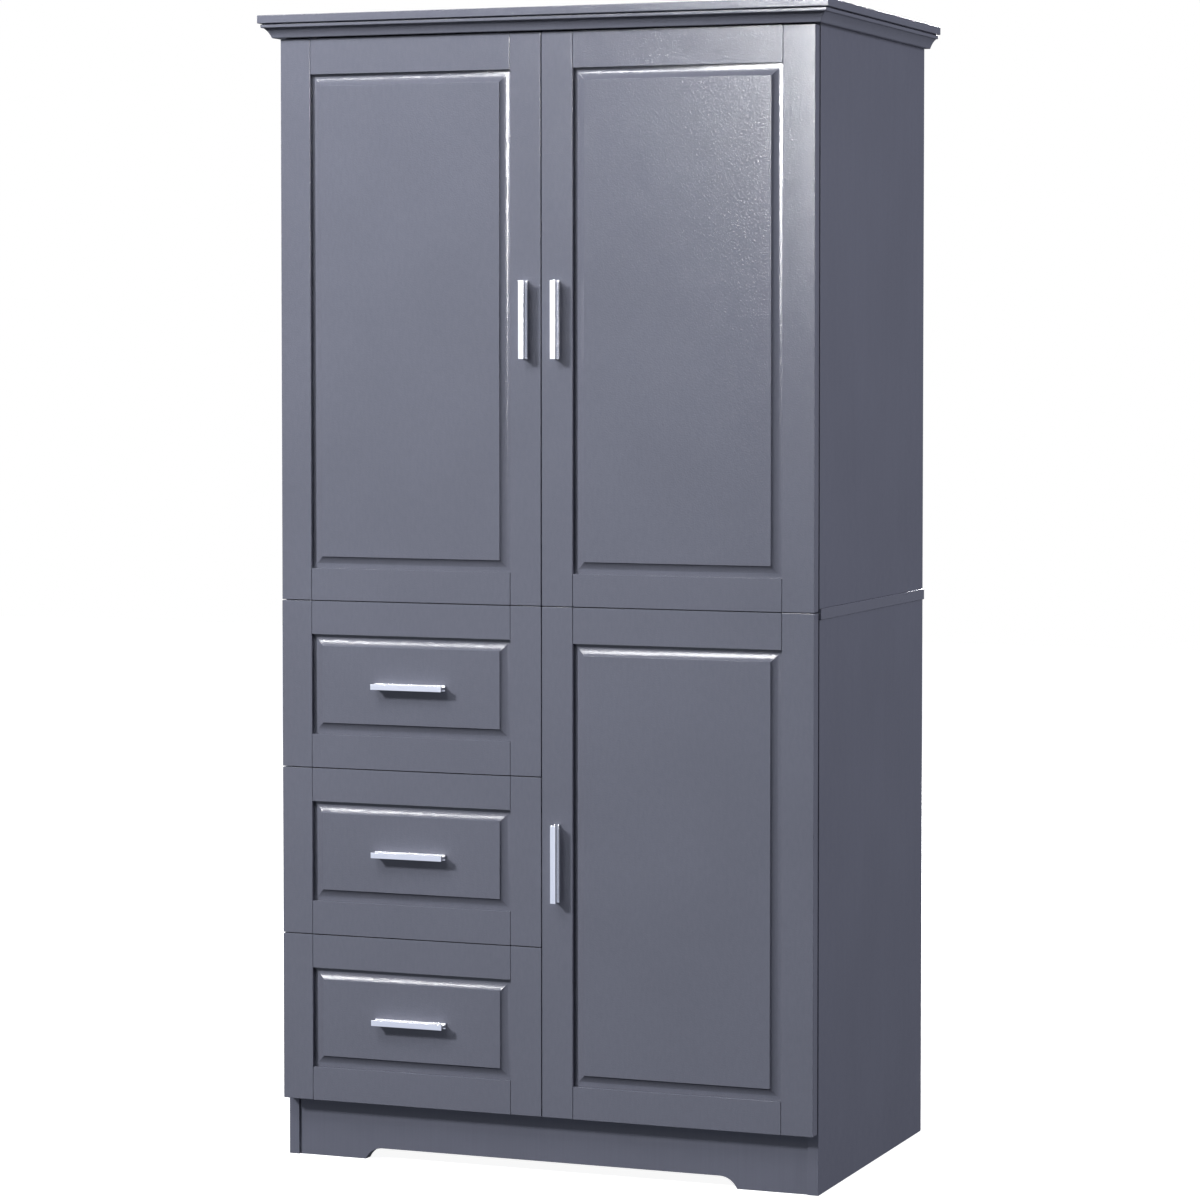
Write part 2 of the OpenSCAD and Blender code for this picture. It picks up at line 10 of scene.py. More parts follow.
import bmesh
import bpy
from mathutils import Matrix, Vector


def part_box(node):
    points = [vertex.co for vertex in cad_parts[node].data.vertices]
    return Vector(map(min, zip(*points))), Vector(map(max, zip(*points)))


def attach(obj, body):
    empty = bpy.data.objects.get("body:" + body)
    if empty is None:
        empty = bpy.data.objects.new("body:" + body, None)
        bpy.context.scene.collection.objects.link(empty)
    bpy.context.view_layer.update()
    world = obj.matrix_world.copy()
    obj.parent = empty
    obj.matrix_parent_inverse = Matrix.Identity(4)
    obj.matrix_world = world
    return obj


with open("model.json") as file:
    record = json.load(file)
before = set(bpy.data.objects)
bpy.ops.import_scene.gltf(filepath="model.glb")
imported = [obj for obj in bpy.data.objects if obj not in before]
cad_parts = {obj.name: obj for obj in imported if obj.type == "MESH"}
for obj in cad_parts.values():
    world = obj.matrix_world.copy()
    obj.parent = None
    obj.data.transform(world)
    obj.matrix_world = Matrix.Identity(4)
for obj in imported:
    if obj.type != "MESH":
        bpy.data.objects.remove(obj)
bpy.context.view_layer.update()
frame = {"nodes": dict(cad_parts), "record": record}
nodes = frame["nodes"]
slot_of = {s["node"]: s["material_slot"] for s in frame["record"]["subparts"]}

MM = 0.001
DOORS = ("upper_left", "upper_right", "lower_right")
DRAWERS = ("top", "mid", "low")


# ---------------------------------------------------------------- camera, light, floor

CAMERA_PLACE = Vector((2.0222, -5.0010, 1.1241))
CAMERA_YAW = math.radians(20.293)
CAMERA_PITCH = math.radians(-2.318)
CAMERA_ROLL = math.radians(0.071)
IMAGE_SIDE = 1200
FOCAL_PIXELS = 3845.5
SENSOR = 36.0
SKY_BELOW, SKY_ABOVE = 0.02, 0.2
WALL_ASIDE, WALL_GLOW = 0.14, 0.8
SKY_TINT = (0.84, 0.91, 1.12)
SIDE_TINT = (1.0, 0.99, 1.04)
WALL_TOWARDS = (-0.1, -0.99, 0.05)
SHIFT = (-0.1, -0.08)
FLOOR_REACH = 9.0
FLOOR_GLOW = 0.93


def make_camera():
    """The camera at the reference view: a long lens, a little to the right, with a small shift."""
    data = bpy.data.cameras.new("camera")
    data.sensor_width = SENSOR
    data.lens = FOCAL_PIXELS / IMAGE_SIDE * SENSOR
    data.shift_x, data.shift_y = SHIFT
    ahead = Vector(
        (
            -math.sin(CAMERA_YAW) * math.cos(CAMERA_PITCH),
            math.cos(CAMERA_YAW) * math.cos(CAMERA_PITCH),
            math.sin(CAMERA_PITCH),
        )
    )
    level = Vector((math.cos(CAMERA_YAW), math.sin(CAMERA_YAW), 0))
    upright = level.cross(ahead)
    right = math.cos(CAMERA_ROLL) * level + math.sin(CAMERA_ROLL) * upright
    up = math.cos(CAMERA_ROLL) * upright - math.sin(CAMERA_ROLL) * level
    turned = Matrix((right, up, -ahead)).transposed().to_4x4()
    camera = bpy.data.objects.new("camera", data)
    camera.matrix_world = Matrix.Translation(CAMERA_PLACE) @ turned
    bpy.context.scene.collection.objects.link(camera)
    bpy.context.scene.camera = camera


def softbox(name, place, aim, size, watts, colour=(1, 1, 1), diffuse=True, glossy=True):
    """A rectangular light of that size at place, turned to aim."""
    data = bpy.data.lights.new(name, "AREA")
    data.shape = "RECTANGLE"
    data.size, data.size_y = size
    data.energy = watts
    data.color = colour
    light = bpy.data.objects.new(name, data)
    light.location = place
    light.rotation_euler = (Vector(aim) - Vector(place)).to_track_quat("-Z", "Y").to_euler()
    light.visible_camera = False
    light.visible_diffuse, light.visible_glossy = diffuse, glossy
    bpy.context.scene.collection.objects.link(light)


def make_studio():
    """A pale floor, a white surround and seven soft lights.

    The key comes from the upper left and "over" softens its shadows. "sparkle" and "glint" show only
    as reflections, on the coves and on the upper right stile. The rest light the sides and the back.
    """
    world = bpy.data.worlds.new("surround")
    bpy.context.scene.world = world
    world.use_nodes = True
    tree = world.node_tree
    background = tree.nodes["Background"]
    towards = add(tree, "ShaderNodeTexCoord").outputs["Generated"]
    height = add(tree, "ShaderNodeSeparateXYZ", {"Vector": towards}).outputs["Z"]
    dome = ramp(tree, height, -0.15, 0.6, SKY_BELOW, SKY_ABOVE)
    across = add(
        tree, "ShaderNodeVectorMath", {0: towards, 1: WALL_TOWARDS}, operation="DOT_PRODUCT"
    ).outputs["Value"]
    wall = ramp(tree, across, 0.45, 0.9, WALL_ASIDE, WALL_GLOW)
    paths = add(tree, "ShaderNodeLightPath")
    glossy = paths.outputs["Is Glossy Ray"]
    shiny = add(tree, "ShaderNodeMix", {0: glossy, 2: dome, 3: wall}).outputs[0]
    seen = paths.outputs["Is Camera Ray"]
    strength = add(tree, "ShaderNodeMix", {0: seen, 2: shiny, 3: 1.0}).outputs[0]
    tree.links.new(strength, background.inputs["Strength"])
    tree.links.new(blend_colour(tree, seen, SKY_TINT, (1, 1, 1)), background.inputs["Color"])
    softbox("key", (-4.3, -4.5, 4.1), (0.0, -0.2, 0.9), (0.8, 0.8), 520)
    softbox("over", (-0.6, -1.5, 2.4), (-0.1, -0.2, 1.1), (1.0, 0.8), 27, glossy=False)
    softbox("sparkle", (-1.0, -3.7, 3.3), (-0.2, -0.2, 0.9), (1.6, 0.6), 150, diffuse=False)
    softbox("glint", (-0.18, -3.7, 2.08), (-0.18, 0, 2.08), (0.55, 0.8), 158, diffuse=False)
    softbox("side", (3.6, -0.25, 1.9), (0.39, 0.0, 1.0), (1.5, 2.0), 98, SIDE_TINT)
    softbox("behind", (0.0, 4.6, 2.3), (0.0, 0.25, 0.8), (0.6, 1.2), 230)
    softbox("left", (-4.2, 0.6, 2.2), (-0.39, 0.0, 0.9), (1.5, 1.5), 60)
    make_floor()


def make_floor():
    """The plain pale floor: it glows evenly, and neither lights the cabinet nor shows in it."""
    bm = bmesh.new()
    corners = ((-1, -1), (1, -1), (1, 1), (-1, 1))
    bm.faces.new([bm.verts.new((FLOOR_REACH * x, FLOOR_REACH * y, 0)) for x, y in corners])
    mesh = bpy.data.meshes.new("floor")
    bm.to_mesh(mesh)
    bm.free()
    floor = bpy.data.objects.new("floor", mesh)
    bpy.context.scene.collection.objects.link(floor)
    material, _, shader = new_material("floor_white")
    shader.inputs["Base Color"].default_value = (0.5, 0.5, 0.5, 1)
    shader.inputs["Roughness"].default_value = 0.7
    shader.inputs["Specular IOR Level"].default_value = 0.1
    shader.inputs["Emission Color"].default_value = (1, 1, 1, 1)
    shader.inputs["Emission Strength"].default_value = FLOOR_GLOW
    floor.visible_diffuse = floor.visible_glossy = False
    mesh.materials.append(material)


# ---------------------------------------------------------------- shader helpers


def new_material(name):
    """An empty node material, its tree and its Principled shader."""
    material = bpy.data.materials.new(name)
    material.use_nodes = True
    tree = material.node_tree
    return material, tree, tree.nodes["Principled BSDF"]


def add(tree, kind, inputs=None, **settings):
    """A new shader node. inputs maps a socket's name or number to a value or another's output."""
    node = tree.nodes.new(kind)
    for key, value in settings.items():
        setattr(node, key, value)
    for key, value in (inputs or {}).items():
        if isinstance(value, bpy.types.NodeSocket):
            tree.links.new(value, node.inputs[key])
        else:
            node.inputs[key].default_value = value
    return node


def object_space(tree, stretch=(1, 1, 1)):
    """Object coordinates in metres, multiplied by stretch."""
    coordinates = add(tree, "ShaderNodeTexCoord")
    return add(
        tree,
        "ShaderNodeMapping",
        {"Vector": coordinates.outputs["Object"], "Scale": stretch},
    ).outputs["Vector"]


def noise(tree, place, scale, detail=2.0, roughness=0.5):
    """Noise of that many features per metre, from 0 to 1."""
    return add(
        tree,
        "ShaderNodeTexNoise",
        {"Vector": place, "Scale": scale, "Detail": detail, "Roughness": roughness},
    ).outputs["Fac"]


def ramp(tree, value, low, high, to_low=0.0, to_high=1.0):
    """value from low..high, moved to to_low..to_high and kept inside them."""
    return add(
        tree,
        "ShaderNodeMapRange",
        {"Value": value, "From Min": low, "From Max": high, "To Min": to_low, "To Max": to_high},
    ).outputs["Result"]


def blend_colour(tree, factor, first, second):
    """first where factor is 0, second where it is 1."""
    node = add(tree, "ShaderNodeMix", data_type="RGBA")
    for number, value in ((0, factor), (6, first), (7, second)):
        socket = node.inputs[number]
        if isinstance(value, bpy.types.NodeSocket):
            tree.links.new(value, socket)
        else:
            socket.default_value = (*value, 1)
    return node.outputs[2]


def bump(tree, height, distance, strength=1.0, under=None):
    """A bump of that height in metres, laid over another bump's normal."""
    inputs = {"Height": height, "Distance": distance, "Strength": strength}
    if under is not None:
        inputs["Normal"] = under
    return add(tree, "ShaderNodeBump", inputs).outputs["Normal"]


def shade(colour, factor):
    """colour made lighter or darker by factor."""
    return tuple(min(1.0, c * factor) for c in colour)


def facing(tree, axis, low=0.7, high=0.9):
    """1 on the faces that look along + of their object's axis: 0 for X, 1 for Y, 2 for Z."""
    normal = add(tree, "ShaderNodeTexCoord").outputs["Normal"]
    parts = add(tree, "ShaderNodeSeparateXYZ", {"Vector": normal})
    return ramp(tree, parts.outputs[axis], low, high)


def multiplied(tree, first, second):
    """first times second."""
    return add(tree, "ShaderNodeMath", {0: first, 1: second}, operation="MULTIPLY").outputs[0]


def connect(tree, shader, colour, roughness, normal):
    """Joins the colour, roughness and normal outputs to the shader."""
    tree.links.new(colour, shader.inputs["Base Color"])
    tree.links.new(roughness, shader.inputs["Roughness"])
    tree.links.new(normal, shader.inputs["Normal"])


# ---------------------------------------------------------------- materials

FRONT_PAINT = (0.125, 0.130, 0.165)
SIDE_PAINT = (0.112, 0.117, 0.152)
DRAWER_LAMINATE = (0.150, 0.155, 0.190)
HARDBOARD = (0.22, 0.135, 0.075)
ALUMINIUM = (0.86, 0.86, 0.87)
NICKEL = (0.66, 0.64, 0.60)
STEEL = (0.60, 0.61, 0.63)
ZINC = (0.42, 0.43, 0.44)
SILICONE = (0.62, 0.62, 0.60)


def paint_material(name, colour, grain, along, peel, rough):
    """Sprayed satin paint: faint clouds, orange peel, pores and a faint upright grain.

    grain and peel are heights in metres. along is how much the grain is squeezed along Z: the
    smaller, the longer its streaks.
    """
    material, tree, shader = new_material(name)
    place = object_space(tree)
    clouds = ramp(tree, noise(tree, place, 5, detail=3), 0.35, 0.65)
    tinted = blend_colour(tree, clouds, shade(colour, 0.97), shade(colour, 1.03))
    specks = ramp(tree, noise(tree, place, 900, detail=2), 0.55, 0.75, 0.0, 0.10)
    coloured = blend_colour(tree, specks, tinted, shade(colour, 1.6))
    pebbles = noise(tree, place, 480, detail=2.5, roughness=0.6)
    pores = noise(tree, place, 1500, detail=1)
    normal = bump(tree, pores, peel * 0.25, 0.6, bump(tree, pebbles, peel, 0.9))
    streaks = noise(tree, object_space(tree, (1, 1, along)), 260, detail=3)
    normal = bump(tree, streaks, grain, 0.5, normal)
    darkened = ramp(tree, streaks, 0.35, 0.65, 0.0, 0.18)
    coloured = blend_colour(tree, darkened, coloured, shade(colour, 0.75))
    roughness = ramp(tree, noise(tree, place, 60, detail=3), 0.3, 0.7, *rough)
    connect(tree, shader, coloured, roughness, normal)
    shader.inputs["Specular IOR Level"].default_value = 0.5
    return material


def brushed_material(name, colour, along, rough=(0.24, 0.27), fine=2600, depth=0.0000004):
    """Metal with brush lines along one axis (0 for X, 1 for Y, 2 for Z), fine to the metre."""
    material, tree, shader = new_material(name)
    stretch = [1, 1, 1]
    stretch[along] = 0.012
    lines = noise(tree, object_space(tree, stretch), fine, detail=3, roughness=0.6)
    smudges = noise(tree, object_space(tree), 120, detail=3)
    coloured = blend_colour(tree, ramp(tree, lines, 0.3, 0.7), shade(colour, 0.93), colour)
    rub = ramp(tree, smudges, 0.35, 0.65, *rough)
    connect(tree, shader, coloured, rub, bump(tree, lines, depth, 0.6))
    shader.inputs["Metallic"].default_value = 1.0
    return material


def plated_material(name, colour, rough=(0.2, 0.32), dimples=0.00003):
    """Plated or cast metal: small dimples, cloudy shine, a few darker spots."""
    material, tree, shader = new_material(name)
    place = object_space(tree)
    cloud = noise(tree, place, 220, detail=3)
    grit = noise(tree, place, 1500, detail=2)
    coloured = blend_colour(tree, ramp(tree, cloud, 0.35, 0.7), shade(colour, 0.86), colour)
    rub = ramp(tree, cloud, 0.3, 0.7, *rough)
    connect(tree, shader, coloured, rub, bump(tree, grit, dimples, 0.6))
    shader.inputs["Metallic"].default_value = 1.0
    return material


def hardboard_material():
    """A thin back: painted on the inside, bare pressed fibre with a woven screen mark behind."""
    material, tree, shader = new_material("back_hardboard")
    place = object_space(tree)
    fibres = noise(tree, place, 700, detail=4, roughness=0.7)
    mottle = ramp(tree, fibres, 0.3, 0.7)
    bare = blend_colour(tree, mottle, shade(HARDBOARD, 0.75), shade(HARDBOARD, 1.3))
    clouds = ramp(tree, noise(tree, place, 6, detail=3), 0.3, 0.7)
    bare = blend_colour(tree, ramp(tree, clouds, 0, 1, 0.0, 0.25), bare, shade(HARDBOARD, 0.6))
    painted = blend_colour(tree, clouds, shade(SIDE_PAINT, 0.97), shade(SIDE_PAINT, 1.03))
    behind = facing(tree, 1)
    coloured = blend_colour(tree, behind, painted, bare)
    weave = [
        add(
            tree,
            "ShaderNodeTexWave",
            {"Vector": place, "Scale": 150, "Distortion": 0.4},
            bands_direction=axis,
        ).outputs["Fac"]
        for axis in ("X", "Z")
    ]
    screen = multiplied(tree, *weave)
    marked = multiplied(tree, screen, behind)
    normal = bump(tree, marked, 0.0002, 0.6, bump(tree, fibres, 0.00006, 0.5))
    roughness = ramp(tree, behind, 0, 1, 0.42, 0.8)
    connect(tree, shader, coloured, roughness, normal)
    return material


def silicone_material():
    """Cloudy soft plastic, with a bloom on it."""
    material, tree, shader = new_material("bumper_silicone")
    place = object_space(tree)
    bloom = noise(tree, place, 400, detail=3)
    milk = ramp(tree, bloom, 0.3, 0.7)
    coloured = blend_colour(tree, milk, shade(SILICONE, 0.9), shade(SILICONE, 1.1))
    roughness = ramp(tree, bloom, 0.3, 0.7, 0.3, 0.5)
    connect(tree, shader, coloured, roughness, bump(tree, bloom, 0.00002, 0.5))
    shader.inputs["Subsurface Weight"].default_value = 0.3
    shader.inputs["Subsurface Radius"].default_value = (0.002, 0.002, 0.002)
    shader.inputs["Subsurface Scale"].default_value = 1.0
    return material


make_camera()
make_studio()

fronts_paint = paint_material(
    "fronts_satin_paint", FRONT_PAINT, grain=0.00002, along=0.3, peel=0.00026, rough=(0.13, 0.18)
)
carcase_paint = paint_material(
    "carcase_satin_paint", SIDE_PAINT, grain=0.00006, along=0.02, peel=0.00009, rough=(0.30, 0.38)
)
drawer_laminate = paint_material(
    "drawer_laminate", DRAWER_LAMINATE, grain=0.00005, along=0.02, peel=0.00006, rough=(0.34, 0.42)
)
hardboard = hardboard_material()
handle_upright = brushed_material("handle_satin_upright", ALUMINIUM, 2)
handle_level = brushed_material("handle_satin_level", ALUMINIUM, 0)
nickel = plated_material("hinge_nickel_plate", NICKEL)
runner_steel = brushed_material(
    "runner_zinc_plate", STEEL, 1, rough=(0.28, 0.42), fine=1500, depth=0.00001
)
screw_steel = plated_material("screw_zinc_plate", STEEL)
cast_zinc = plated_material("cam_cast_zinc", ZINC, rough=(0.35, 0.5), dimples=0.00006)
silicone = silicone_material()

MATERIAL_OF_SLOT = {
    "painted_fronts": fronts_paint,
    "painted_carcase": carcase_paint,
    "back_board": hardboard,
    "drawer_board": drawer_laminate,
    "handle_metal": handle_upright,
    "hinge_nickel": nickel,
    "hardware_steel": runner_steel,
    "cam_zinc": cast_zinc,
}


# ---------------------------------------------------------------- softened edges on the CAD nodes

SHARP = math.radians(17)
WELD = 0.00001


def marking_group():
    """A node group that joins a CAD node's split corners, smooths it and weights the edges to round."""
    group = bpy.data.node_groups.new("mark_edges", "GeometryNodeTree")
    face = group.interface
    face.new_socket("Geometry", in_out="INPUT", socket_type="NodeSocketGeometry")
    shortest = face.new_socket("Shortest", in_out="INPUT", socket_type="NodeSocketFloat")
    face.new_socket("Geometry", in_out="OUTPUT", socket_type="NodeSocketGeometry")
    start = add(group, "NodeGroupInput")
    joined = add(
        group,
        "GeometryNodeMergeByDistance",
        {"Geometry": start.outputs["Geometry"], "Distance": WELD},
    )
    smooth = add(
        group,
        "GeometryNodeSetShadeSmooth",
        {"Geometry": joined.outputs[0], "Shade Smooth": True},
        domain="FACE",
    )
    angle = add(group, "GeometryNodeInputMeshEdgeAngle")
    steep = add(
        group,
        "FunctionNodeCompare",
        {0: angle.outputs["Unsigned Angle"], 1: SHARP},
        operation="GREATER_THAN",
    ).outputs[0]
    ends = add(group, "GeometryNodeInputMeshEdgeVertices")
    length = add(
        group,
        "ShaderNodeVectorMath",
        {0: ends.outputs["Position 1"], 1: ends.outputs["Position 2"]},
        operation="DISTANCE",
    )
    long_edge = add(
        group,
        "FunctionNodeCompare",
        {0: length.outputs["Value"], 1: start.outputs["Shortest"]},
        operation="GREATER_THAN",
    ).outputs[0]
    rounded = add(group, "FunctionNodeBooleanMath", {0: steep, 1: long_edge}, operation="AND")
    sharp = add(group, "FunctionNodeBooleanMath", {0: steep, 1: long_edge}, operation="NIMPLY")
    weighted = add(
        group,
        "GeometryNodeStoreNamedAttribute",
        {"Geometry": smooth.outputs[0], "Name": "bevel_weight_edge", "Value": rounded.outputs[0]},
        data_type="FLOAT",
        domain="EDGE",
    )
    creased = add(
        group,
        "GeometryNodeSetShadeSmooth",
        {"Geometry": weighted.outputs[0], "Selection": sharp.outputs[0], "Shade Smooth": False},
        domain="EDGE",
    )
    end = add(group, "NodeGroupOutput")
    group.links.new(creased.outputs[0], end.inputs["Geometry"])
    return group, shortest.identifier


mark_edges, SHORTEST = marking_group()


def soften(thing, width, shortest, segments):
    """Rounds the sharp edges of thing that are longer than shortest."""
    marks = thing.modifiers.new("marks", "NODES")
    marks.node_group = mark_edges
    marks[SHORTEST] = shortest
    bevel = thing.modifiers.new("rounding", "BEVEL")
    bevel.limit_method = "WEIGHT"
    bevel.width = width
    bevel.segments = segments
    bevel.use_clamp_overlap = False
    shading = thing.modifiers.new("shading", "WEIGHTED_NORMAL")
    shading.keep_sharp = True


HOLED_BOARDS = (
    "bottom_board",
    "divider",
    "lower_side_left",
    "lower_side_right",
    "upper_side_left",
    "upper_side_right",
)
HOLED_SMALL_PARTS = ("cam_locks", "shelf_pins")
# Edges no longer than these lie round a peg's or cam's hole, or round a hinge cup's bore
HOLE_EDGE = 2.4 * MM
BORE_EDGE = 4.8 * MM

ROUNDING = {
    "painted_fronts": 0.9 * MM,
    "painted_carcase": 0.4 * MM,
    "back_board": 0.15 * MM,
    "drawer_board": 0.35 * MM,
    "handle_metal": 0.3 * MM,
    "hinge_nickel": 0.2 * MM,
    "hardware_steel": 0.2 * MM,
    "cam_zinc": 0.15 * MM,
}
PANEL_ROUNDING = 0.35 * MM
FRONT_SEGMENTS, OTHER_SEGMENTS = 3, 2

for name, thing in nodes.items():
    slot = slot_of[name]
    level = name.startswith("drawer") and name.endswith("handle")
    made_of = handle_level if level else MATERIAL_OF_SLOT[slot]
    for place in thing.material_slots:
        place.material = made_of
    short = 0.0
    if name in HOLED_BOARDS + HOLED_SMALL_PARTS:
        short = HOLE_EDGE
    elif name.endswith("frame") and not name.startswith("drawer"):
        short = BORE_EDGE
    width = PANEL_ROUNDING if name.endswith("panel") else ROUNDING[slot]
    soften(thing, width, short, FRONT_SEGMENTS if slot == "painted_fronts" else OTHER_SEGMENTS)


# ---------------------------------------------------------------- small hardware

RING = 24
SUNK = 0.1 * MM


def ring(bm, place, radius, height):
    """A ring of vertices round local +Z, at that height."""
    angles = [math.tau * i / RING for i in range(RING)]
    points = [Vector((radius * math.cos(a), radius * math.sin(a), height)) for a in angles]
    return [bm.verts.new(place @ point) for point in points]


def join_rings(bm, lower, upper):
    """A smooth band of faces between two rings."""
    for i in range(RING):
        j = (i + 1) % RING
        bm.faces.new((lower[i], lower[j], upper[j], upper[i])).smooth = True


def lathe(bm, place, profile):
    """Rings of (radius, height) joined up. Returns the first and the last ring."""
    rings = [ring(bm, place, r, h) for r, h in profile]
    for lower, upper in zip(rings, rings[1:]):
        join_rings(bm, lower, upper)
    return rings[0], rings[-1]


def cross_ring(bm, place, reach, arm, height):
    """A ring in the shape of a cross, in the same order as ring()."""
    verts = []
    for i in range(RING):
        angle = math.tau * i / RING
        x, y = math.cos(angle), math.sin(angle)
        step = i % (RING // 4)
        if step == 0:
            far, side = reach, 0.0
        elif step in (1, RING // 4 - 1):
            far, side = reach, arm
        elif step in (2, RING // 4 - 2):
            far, side = (reach + arm) / 2, arm
        else:
            far, side = arm, arm
        px = math.copysign(far if abs(x) >= abs(y) else side, x) if abs(x) > 1e-9 else 0.0
        py = math.copysign(far if abs(y) > abs(x) else side, y) if abs(y) > 1e-9 else 0.0
        verts.append(bm.verts.new(place @ Vector((px, py, height))))
    return verts


def screw(bm, place, radius, height):
    """A pan-head screw with a cross recess. place carries local +Z out of the surface."""
    first, last = lathe(
        bm,
        place,
        [
            (radius * 0.94, -SUNK),
            (radius, height * 0.12),
            (radius, height * 0.35),
            (radius * 0.94, height * 0.65),
            (radius * 0.80, height * 0.88),
            (radius * 0.64, height),
        ],
    )
    bm.faces.new(list(reversed(first)))
    mouth = cross_ring(bm, place, radius * 0.52, radius * 0.13, height)
    join_rings(bm, last, mouth)
    floor = cross_ring(bm, place, radius * 0.40, radius * 0.09, height * 0.35)
    join_rings(bm, mouth, floor)
    bm.faces.new(floor)


def placed(x, y, z, direction):
    """A matrix at that point with local +Z along direction."""
    turned = Vector(direction).to_track_quat("Z", "Y").to_matrix().to_4x4()
    return Matrix.Translation((x, y, z)) @ turned


def add_piece(name, bm, material, body):
    """Turns bm into a piece that rides on body."""
    bmesh.ops.recalc_face_normals(bm, faces=bm.faces)
    mesh = bpy.data.meshes.new(name)
    bm.to_mesh(mesh)
    bm.free()
    mesh.materials.append(material)
    piece = bpy.data.objects.new(name, mesh)
    bpy.context.scene.collection.objects.link(piece)
    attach(piece, body)


DOME_ANGLES = (0.0, 0.25, 0.5, 0.8, 1.1, 1.35)


def dome(bm, place, radius, height):
    """A flat-based dome."""
    first, last = lathe(
        bm,
        place,
        [(radius * math.cos(a), height * math.sin(a)) for a in DOME_ANGLES],
    )
    bm.faces.new(list(reversed(first)))
    bm.faces.new(last)


BACKWARDS, LEFT, RIGHT = (0, 1, 0), (-1, 0, 0), (1, 0, 0)
INNER_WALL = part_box("bottom_board")[1].x
FRONTS_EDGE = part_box("upper_right_frame")[1].x

# Handles: two screws from behind, through a door's stile or a drawer's front board. Sizes of all
# screws, bumpers and nails are (radius, height of the head).
HANDLE_FIXING = 48 * MM
DRAWER_BOARD = 12 * MM
HANDLE_SCREW = (4.0 * MM, 2.0 * MM)


def middle(node):
    """The middle of a node's box."""
    low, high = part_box(node)
    return (low + high) / 2


for door in DOORS:
    at = middle(f"{door}_handle")
    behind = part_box(f"{door}_frame")[1].y
    bm = bmesh.new()
    for dz in (-HANDLE_FIXING, HANDLE_FIXING):
        screw(bm, placed(at.x, behind, at.z + dz, BACKWARDS), *HANDLE_SCREW)
    add_piece(f"{door}_handle_screws", bm, screw_steel, f"{door}_door")

for level in DRAWERS:
    at = middle(f"drawer_{level}_handle")
    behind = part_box(f"drawer_{level}_ends")[0].y + DRAWER_BOARD
    bm = bmesh.new()
    for dx in (-HANDLE_FIXING, HANDLE_FIXING):
        screw(bm, placed(at.x + dx, behind, at.z, BACKWARDS), *HANDLE_SCREW)
    add_piece(f"drawer_{level}_handle_screws", bm, screw_steel, f"drawer_{level}")

# Hinges: screws through the mounting plates, on the arms and through the cups' flanges
HINGE_INSET = 100 * MM
PLATE_THICKNESS = 2 * MM
PLATE_SCREW_BACK, PLATE_SCREW_ASIDE = 60 * MM, 16 * MM
ARM_SCREW_BACKS, ARM_FACE_IN = (34 * MM, 74 * MM), 36 * MM
CUP_SCREW_IN, CUP_SCREW_ASIDE = 23.2 * MM, 21.8 * MM
PLATE_SCREW = (3.6 * MM, 1.5 * MM)
ARM_SCREW = (2.9 * MM, 0.9 * MM)
CUP_SCREW = (3.1 * MM, 1.5 * MM)

bm = bmesh.new()
for door in DOORS:
    low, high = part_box(f"{door}_frame")
    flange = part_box(f"{door}_cups")[1].y
    side = -1 if door == "upper_left" else 1
    inward = RIGHT if side < 0 else LEFT
    plate_x = side * INNER_WALL - side * PLATE_THICKNESS
    arm_x = side * (FRONTS_EDGE - ARM_FACE_IN)
    cup_x = side * (FRONTS_EDGE - CUP_SCREW_IN)
    cups = bmesh.new()
    for z in (low.z + HINGE_INSET, high.z - HINGE_INSET):
        for dz in (-PLATE_SCREW_ASIDE, PLATE_SCREW_ASIDE):
            screw(bm, placed(plate_x, low.y + PLATE_SCREW_BACK, z + dz, inward), *PLATE_SCREW)
        for back in ARM_SCREW_BACKS:
            screw(bm, placed(arm_x, low.y + back, z, inward), *ARM_SCREW)
        for dz in (-CUP_SCREW_ASIDE, CUP_SCREW_ASIDE):
            screw(cups, placed(cup_x, flange, z + dz, BACKWARDS), *CUP_SCREW)
    add_piece(f"{door}_cup_screws", cups, screw_steel, f"{door}_door")
add_piece("hinge_plate_screws", bm, screw_steel, "carcase")

# Drawers: screws that hold the runners and join the boxes, and bumpers behind the fronts
RUNNER_THICKNESS = 1.2 * MM
RUNNER_SCREW_BACKS = (30 * MM, 190 * MM, 350 * MM)
CORNER_IN, CORNER_UP, CORNER_DOWN = 6 * MM, 15 * MM, 22 * MM
BUMPER_OUTER_IN, BUMPER_INNER_IN, BUMPER_UP = 7 * MM, 3.6 * MM, 14 * MM
RUNNER_SCREW = (3.4 * MM, 1.4 * MM)
CORNER_SCREW = (3.6 * MM, 0.7 * MM)
BUMPER = (3.2 * MM, 1.3 * MM)

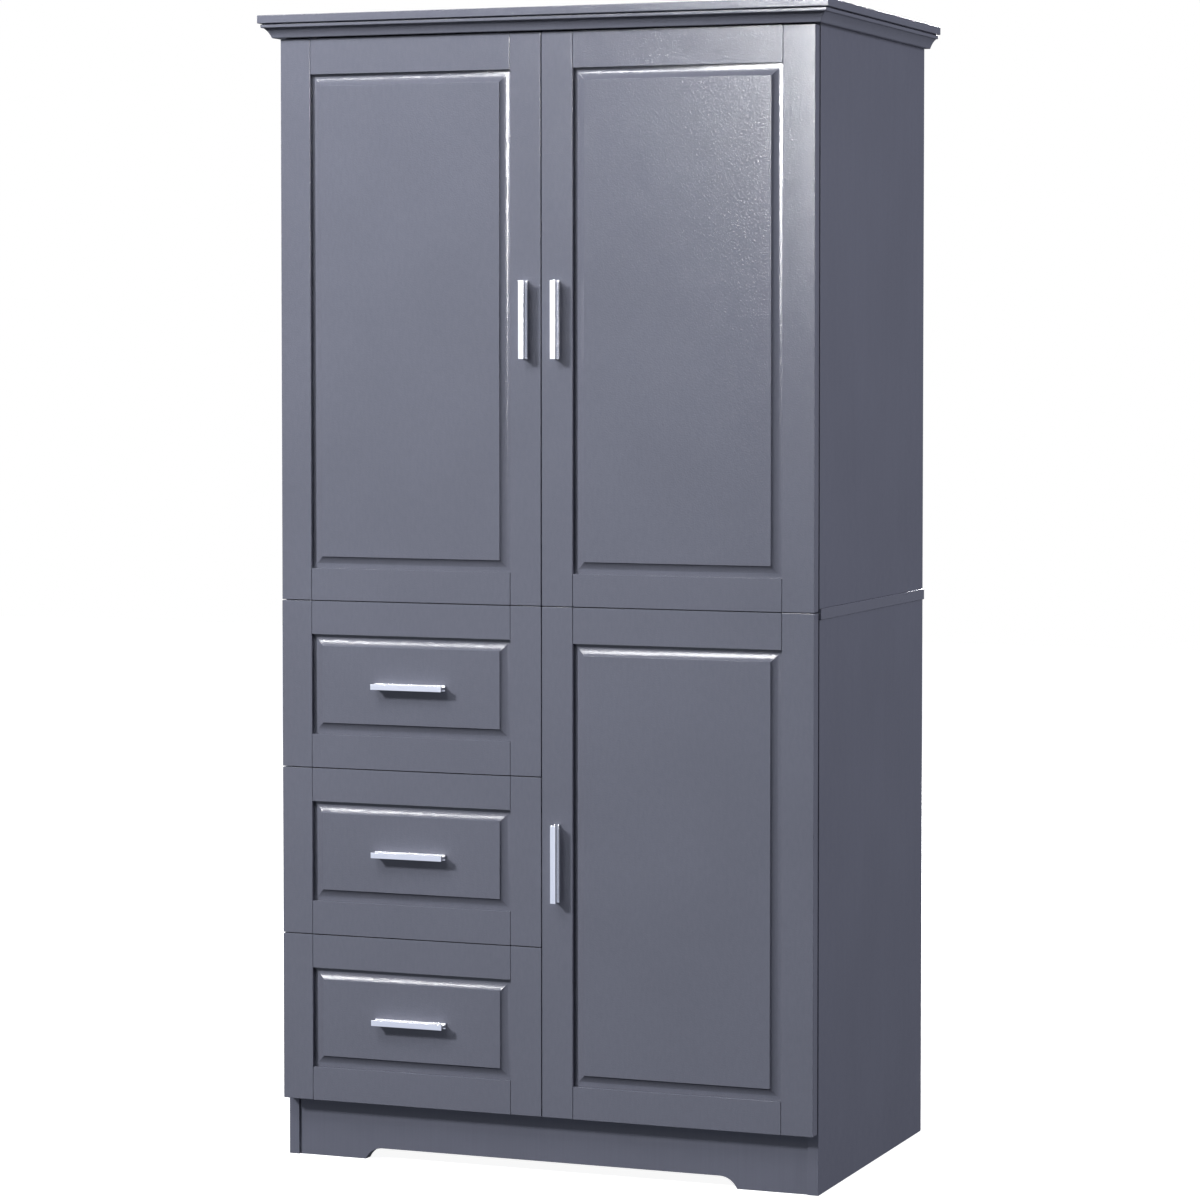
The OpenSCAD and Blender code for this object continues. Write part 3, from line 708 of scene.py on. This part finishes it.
for level in DRAWERS:
    body = f"drawer_{level}"
    low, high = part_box(f"{body}_sides")
    run_low, run_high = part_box(f"{body}_runners")
    front_low, front_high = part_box(f"{body}_frame")
    bm = bmesh.new()
    run_z = (run_low.z + run_high.z) / 2
    for x, out in ((low.x, LEFT), (high.x, RIGHT)):
        run_x = x + out[0] * RUNNER_THICKNESS
        for back in RUNNER_SCREW_BACKS:
            screw(bm, placed(run_x, run_low.y + back, run_z, out), *RUNNER_SCREW)
        for y in (low.y + CORNER_IN, high.y - CORNER_IN):
            for z in (low.z + CORNER_UP, high.z - CORNER_DOWN):
                screw(bm, placed(x, y, z, out), *CORNER_SCREW)
    add_piece(f"{body}_box_screws", bm, screw_steel, body)
    bm = bmesh.new()
    for x in (front_low.x + BUMPER_OUTER_IN, front_high.x - BUMPER_INNER_IN):
        for z in (front_low.z + BUMPER_UP, front_high.z - BUMPER_UP):
            dome(bm, placed(x, front_high.y, z, BACKWARDS), *BUMPER)
    add_piece(f"{body}_bumpers", bm, silicone, body)

# Bumpers behind the lower door's free edge, which closes on the divider
low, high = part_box("lower_right_frame")
bm = bmesh.new()
for z in (low.z + BUMPER_UP, high.z - BUMPER_UP):
    dome(bm, placed(low.x + BUMPER_INNER_IN, high.y, z, BACKWARDS), *BUMPER)
add_piece("lower_right_bumpers", bm, silicone, "lower_right_door")

# Nails through the lower back into the bottom board and the divider
NAIL = (3.0 * MM, 0.7 * MM)
NAIL_PITCH, NAILS_ASIDE, DIVIDER_STEPS = 115 * MM, 3, 6
low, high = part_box("lower_back")
board_low, board_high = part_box("bottom_board")
bm = bmesh.new()
board_z = (board_low.z + board_high.z) / 2
for i in range(-NAILS_ASIDE, NAILS_ASIDE + 1):
    dome(bm, placed(i * NAIL_PITCH, high.y, board_z, BACKWARDS), *NAIL)
for i in range(1, DIVIDER_STEPS):
    z = board_high.z + (high.z - board_high.z) * i / DIVIDER_STEPS
    dome(bm, placed(0.0, high.y, z, BACKWARDS), *NAIL)
add_piece("back_nails", bm, screw_steel, "carcase")


# ---------------------------------------------------------------- view transform

bpy.context.scene.view_settings.view_transform = "Standard"
